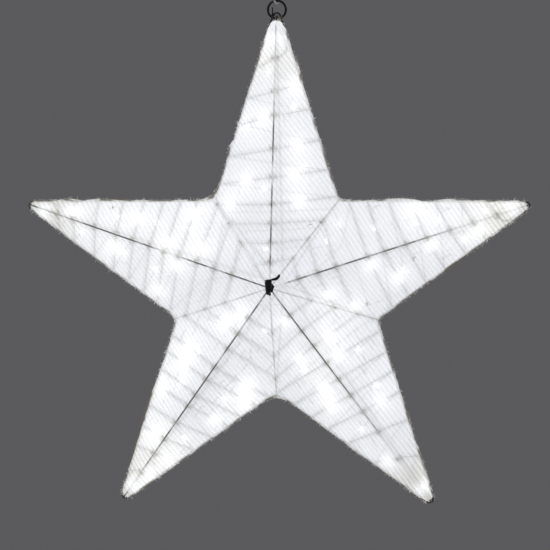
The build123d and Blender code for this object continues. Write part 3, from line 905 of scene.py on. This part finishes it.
# %% [markdown]
# Last come the tufts: small bunches of hairs where the picture shows a rubbed or mended spot, and
# brown threads under the ring. Then each colour of yarn is made one mesh.

# %% Tufts and threads
TUFTS = (  # arm, in mm: across and out, number of hairs, and which yarn
    (4, 32, 234, 26, white_hairs), (4, 36, 219, 16, brown_hairs), (0, 62, 86, 24, brown_hairs),
    (0, 55, 80, 14, brown_hairs), (1, 71, 104, 22, brown_hairs), (1, 74, 102, 8, white_hairs),
    (0, -56, 158, 10, white_hairs), (0, 70, 126, 8, white_hairs), (1, 22, 168, 14, brown_hairs),
    (1, 20, 245, 8, white_hairs),
)
TUFT_WIDE = 1.6 * MM
TUFT_LONG = 1.4, 4.0
RING_THREADS = 26
RING_SPOT = (1, 7), (-1, 4), (-3, 1)    # in mm: across, above the knit's end, and deep
RING_LONG = 2.0, 4.5
for arm, across, out, number, curve in TUFTS:
    depth = -HUB_HEIGHT * (1 - out * MM / TIP_RADIUS)
    root, _, _ = cloth_tree.find(star_point(arm * STEP, across * MM, out * MM, depth))
    for i in range(number):
        start = root + any_way() * TUFT_WIDE
        hair(curve, start, any_way(), rng.uniform(*TUFT_LONG) * MM, rng.uniform(0.3, 1))
for i in range(RING_THREADS):
    across, above, deep = (rng.uniform(*span) * MM for span in RING_SPOT)
    start = star_point(0, across, TIP_ENDS[0] + above, deep)
    hair(brown_hairs, start, any_way(), rng.uniform(*RING_LONG) * MM, rng.uniform(0.4, 1))
white_fibres = hair_piece("white_fibres", white_hairs)
brown_fibres = hair_piece("brown_fibres", brown_hairs)
clip_fibres = hair_piece("clip_fibres", clip_hairs)
print("fibre faces", [len(piece.data.polygons) for piece in (white_fibres, brown_fibres, clip_fibres)])

# %% [markdown]
# The finish of the knit: white yarn in slanting ribs, lit from behind. Real cloth would need every
# lamp's light traced through it, which is slow and noisy. Here the light through the cloth is an
# emission, strongest over a lamp and weak over a wire, a clip or the cord, which keep the light off,
# and there the yarn's colour is darkened as painted shade. Over a wire the cloth also lets the wire
# show. Between the lamps the light is bluish, at the tips yellowish. Along the seam the cloth is
# doubled round the outline wire: the light there is weak and yellowish, and the yarn is painted a
# dull olive shade. The top arm's end is bright.

# %% The lit knit
RIB_PITCH = 4.8 * MM
RIB_TURN = math.radians(36)
TIP_SPAN = 225 * MM, 305 * MM           # where the cloth turns to its look at the tips
RIDGE_LINE = 0.4 * MM, 1.35 * MM        # a wire's shade is full up to the first and gone at the second
VALLEY_LINE = 0.2 * MM, 1.4 * MM
SEAM_BAND = 3.4 * MM, 6.4 * MM
ALL_OVER, FROM_HAZE, FROM_LAMP = 0.588, 0.09, 0.32      # the parts of the light
AT_TOP_END, LOST_AT_TIPS = 0.12, 0.12
DARK = (0, 0, 0)
COOL_LIGHT, WHITE_LIGHT = (0.93, 0.945, 1.0), (1.0, 1.0, 1.0)
TIP_LIGHT, SEAM_LIGHT = (0.95, 0.94, 0.80), (0.90, 0.84, 0.66)
WHITE_CLOTH, TIP_CLOTH = (0.80, 0.805, 0.82), (0.79, 0.79, 0.73)
RIB_SHADE, CORD_SHADE = (0.60, 0.60, 0.63), (0.40, 0.40, 0.44)
# painted shade: the yarn's colour along the seam, over the wires and over a clip
SEAM_SHADE, WIRE_SHADE, CLIP_SHADE = (0.16, 0.14, 0.10), (0.09, 0.085, 0.08), (0.22, 0.18, 0.10)


def lit_knit():
    """White ribbed knit with the lamps behind it."""
    f = new_finish("lit_knit")
    glow, haze, bright = f.attribute("glow"), f.attribute("haze"), f.attribute("bright")
    grain, patch, stitch = f.cloud(260, 2), f.cloud(16, 3), f.cloud(900, 1)
    # the ribs
    across_rib = f.add("ShaderNodeSeparateXYZ", {}, {"Vector": f.place((0, RIB_TURN, 0))})["X"]
    rib = f.maths("SINE", across_rib * (2 * math.pi / RIB_PITCH) + f.cloud(9, 1) * 4.0) * 0.5 + 0.5
    line = rib ** 4 * (0.8 + grain * 0.5)
    # how the lamps light the cloth
    lit = glow.rising(0.22, 1.0)
    dull = 1 - glow.rising(0.05, 0.4)
    washed = 1 - glow.rising(0.1, 0.6) * 0.9
    tip = f.attribute("out").rising(*TIP_SPAN) * (1 - bright)
    # the wires, the cord, the clips and the doubled cloth of the seam, which keep light off: painted shade
    ridge = 1 - f.attribute("from_ridge").rising(*RIDGE_LINE)
    valley = 1 - f.attribute("from_valley").rising(*VALLEY_LINE)
    # where a wire lies under the cloth, the cloth lets it show and its shade is painted on, stronger in
    # random patches
    patchy = f.cloud(45, 2).rising(0.35, 0.55)
    shown = f.attribute("shown") * (0.4 + patchy * 0.6) + 0.06
    wire = f.maths("MAXIMUM", ridge * shown, valley * (0.04 + patchy * 0.26)) * washed
    cord = f.attribute("cord") * washed * (0.35 + patch * 0.9)
    # painted shade of each clip under the cloth: less light comes through and the yarn turns the clip's brown
    clip_shade = (f.attribute("mark") * (f.cloud(420, 2) * 1.5 - 0.15)).clamped()
    # the painted shade along the seam is stronger in random stretches
    seam_shade_stretches = f.cloud(60, 3).rising(0.44, 0.60)
    seam = 1 - f.attribute("from_seam").rising(*SEAM_BAND)
    rim = seam * (0.35 + seam_shade_stretches * 0.65)
    # the light that comes through
    light = ALL_OVER + haze.rising(0.3, 2.6) * FROM_HAZE + (patch - 0.5) * 0.16 + (stitch - 0.5) * 0.03
    light = light + bright * AT_TOP_END + glow * FROM_LAMP - tip * dull * LOST_AT_TIPS
    light = light * (1 - line * (0.2 + tip * dull * 0.3 - bright * 0.12))
    light = light * (1 - wire * 0.82) * (1 - clip_shade * 0.5) * (1 - cord * 0.34) * (1 - rim * 0.85)
    tint = f.blend((haze * 0.4 + lit).clamped(), COOL_LIGHT, WHITE_LIGHT)
    tint = f.blend(tip * dull * (0.3 + patch * 0.6), tint, TIP_LIGHT)
    tint = f.blend(rim * 0.7, tint, SEAM_LIGHT)
    # the yarn's colour, with painted shade over the cord, the seam, the wires and the clips
    white = f.blend(tip * patch, WHITE_CLOTH, TIP_CLOTH)
    white = f.blend((line * 0.3).clamped(), white, RIB_SHADE)
    white = f.blend(cord * 0.35, white, CORD_SHADE)
    white = f.blend(rim * 0.9, white, SEAM_SHADE)
    white = f.blend(wire * 0.8, white, WIRE_SHADE)
    white = f.blend(clip_shade * 0.8, white, CLIP_SHADE)
    alpha = (0.89 - wire * 0.14 + lit * 0.1 + clip_shade * 0.1 + seam * 0.11).clamped(0.3, 1.0)
    return f.surface(Base_Color=white, Roughness=0.85, Alpha=alpha,
                     Emission_Color=f.blend(light.clamped(), DARK, tint), Emission_Strength=1.0,
                     Normal=f.bump(rib * 0.6 + stitch * 0.4, 0.35, 0.5 * MM), Sheen_Weight=0.2,
                     Sheen_Roughness=0.6, Specular_IOR_Level=0.2)


def yarn(name, dark, pale, light):
    """Loose yarn. Some of the lamps' light reaches it."""
    f = new_finish(name)
    shade = f.cloud(300, 2)
    dark_glow, pale_glow = (tuple(x * light for x in colour) for colour in (dark, pale))
    return f.surface(Base_Color=f.blend(shade, dark, pale), Roughness=0.9,
                     Emission_Color=f.blend(shade, dark_glow, pale_glow), Emission_Strength=1.0)


def wear(obj, material):
    """Puts one material on a piece."""
    obj.data.materials.clear()
    obj.data.materials.append(material)


knit_material = lit_knit()
for piece in (knit_front, knit_back):
    wear(piece, knit_material)
wear(white_fibres, yarn("white_yarn", (0.70, 0.70, 0.70), (0.92, 0.92, 0.93), 0.35))
wear(brown_fibres, yarn("brown_yarn", (0.12, 0.09, 0.05), (0.42, 0.38, 0.27), 0.25))
wear(clip_fibres, yarn("olive_yarn", (0.34, 0.29, 0.19), (0.60, 0.56, 0.44), 0.5))
print("the knit is lit")

# %% [markdown]
# The frame's wire is drawn steel that has gone dull, with small brown spots. The ring, hubs and
# bindings are black paint. The hook is darker steel with scratches, and its two bends carry a painted
# highlight. The cord is grey green plastic, the lamps glow and the clips are olive brown.

# %% The hard finishes
LOW_BEND = -37 * MM, -31 * MM           # the heights over which the painted highlight of a bend ends
TOP_BEND = -4 * MM, 0


def frame_steel():
    """Drawn steel wire, dull, with brown spots."""
    f = new_finish("frame_steel")
    rust = f.cloud(140, 4).rising(0.56, 0.68)
    streak = f.cloud(900, 2)
    colour = f.blend(streak, (0.075, 0.07, 0.068), (0.15, 0.14, 0.13))
    colour = f.blend(rust * 0.8, colour, (0.12, 0.06, 0.025))
    return f.surface(Base_Color=colour, Metallic=0.75 - rust * 0.6,
                     Roughness=0.42 + rust * 0.35 + streak * 0.1,
                     Normal=f.bump(streak + rust, 0.25, 0.1 * MM))


def black_paint():
    """Black paint, with patches of wear."""
    f = new_finish("black_paint")
    patchy = f.cloud(380, 3).rising(0.62, 0.75)
    colour = f.blend(patchy * 0.5, (0.012, 0.012, 0.013), (0.06, 0.055, 0.05))
    return f.surface(Base_Color=colour, Roughness=0.34 + patchy * 0.3,
                     Normal=f.bump(f.cloud(700, 2), 0.2, 0.08 * MM))


def hook_wear_and_highlight():
    """Dark steel with scratches, and a painted highlight on its two bends."""
    f = new_finish("hook_wear_and_highlight")
    scratch = f.cloud(1.0, 3, 0.6, f.place((0, 0, 0.4), (900, 900, 90)))
    height = f.add("ShaderNodeSeparateXYZ", {}, {"Vector": f.place()})["Z"]
    painted_highlight = (1 - height.rising(*LOW_BEND) + height.rising(*TOP_BEND)).clamped()
    # painted highlight: the two bends are pale and less metallic, so that they look bright under any light
    bright = (f.cloud(160, 2).rising(0.42, 0.62) * 0.5 + scratch * 0.5) * (1 - painted_highlight) + painted_highlight
    colour = f.blend(bright, (0.07, 0.07, 0.075), (0.86, 0.86, 0.87))
    return f.surface(Base_Color=colour, Metallic=0.9 - painted_highlight * 0.5, Roughness=0.26 + scratch * 0.22,
                     Normal=f.bump(scratch, 0.2, 0.06 * MM))


def cord_finish():
    """Grey green insulation."""
    f = new_finish("cord_plastic")
    shade = f.cloud(240, 2)
    colour = f.blend(shade, (0.24, 0.27, 0.24), (0.36, 0.38, 0.35))
    return f.surface(Base_Color=colour, Roughness=0.45 + shade * 0.2,
                     Normal=f.bump(f.cloud(1500, 1), 0.1, 0.05 * MM))


def lamp_finish():
    """A lamp that is on."""
    f = new_finish("lamp_glow")
    spark = f.cloud(500, 2)
    return f.surface(Base_Color=f.blend(spark, (0.85, 0.9, 1.0), (1, 1, 1)), Roughness=0.2 + spark * 0.2,
                     Emission_Color=f.blend(spark, (0.85, 0.92, 1.0), (1, 1, 1)), Emission_Strength=2.5)


def clip_finish():
    """Olive brown plastic, dusty."""
    f = new_finish("clip_plastic")
    dirt = f.cloud(600, 3)
    return f.surface(Base_Color=f.blend(dirt, (0.22, 0.18, 0.10), (0.36, 0.31, 0.20)),
                     Roughness=0.5 + dirt * 0.3, Normal=f.bump(dirt, 0.2, 0.1 * MM))


FINISHES = {"frame_steel": frame_steel(), "black_steel": black_paint(), "hook_steel": hook_wear_and_highlight(),
            "cord_plastic": cord_finish(), "lamp_plastic": lamp_finish(), "clip_plastic": clip_finish()}
for part in frame["record"]["subparts"]:
    if part["material_slot"] in FINISHES:
        wear(frame["nodes"][part["node"]], FINISHES[part["material_slot"]])
wear(binding, FINISHES["black_steel"])
print("finishes", sorted(FINISHES))

# %% [markdown]
# The floor is a plain pale disc, more than a metre below the hook.

# %% The floor
FLOOR_R, FLOOR_DOWN = 1.6, 0.85         # the second from the star's middle
work = bmesh.new()
bmesh.ops.create_circle(work, cap_ends=True, segments=96, radius=FLOOR_R,
                        matrix=Matrix.Translation(CENTRE - Vector((0, 0, FLOOR_DOWN))))
floor = bpy.data.objects.new("floor", bpy.data.meshes.new("floor"))
work.to_mesh(floor.data)
work.free()
bpy.context.scene.collection.objects.link(floor)
floor_finish = new_finish("pale_floor")
floor_tone = floor_finish.blend(floor_finish.cloud(3, 2), (0.66, 0.66, 0.65), (0.70, 0.70, 0.69))
wear(floor, floor_finish.surface(Base_Color=floor_tone, Roughness=0.8))
print("floor below", round(floor.data.vertices[0].co.z, 2), "m")

# %% [markdown]
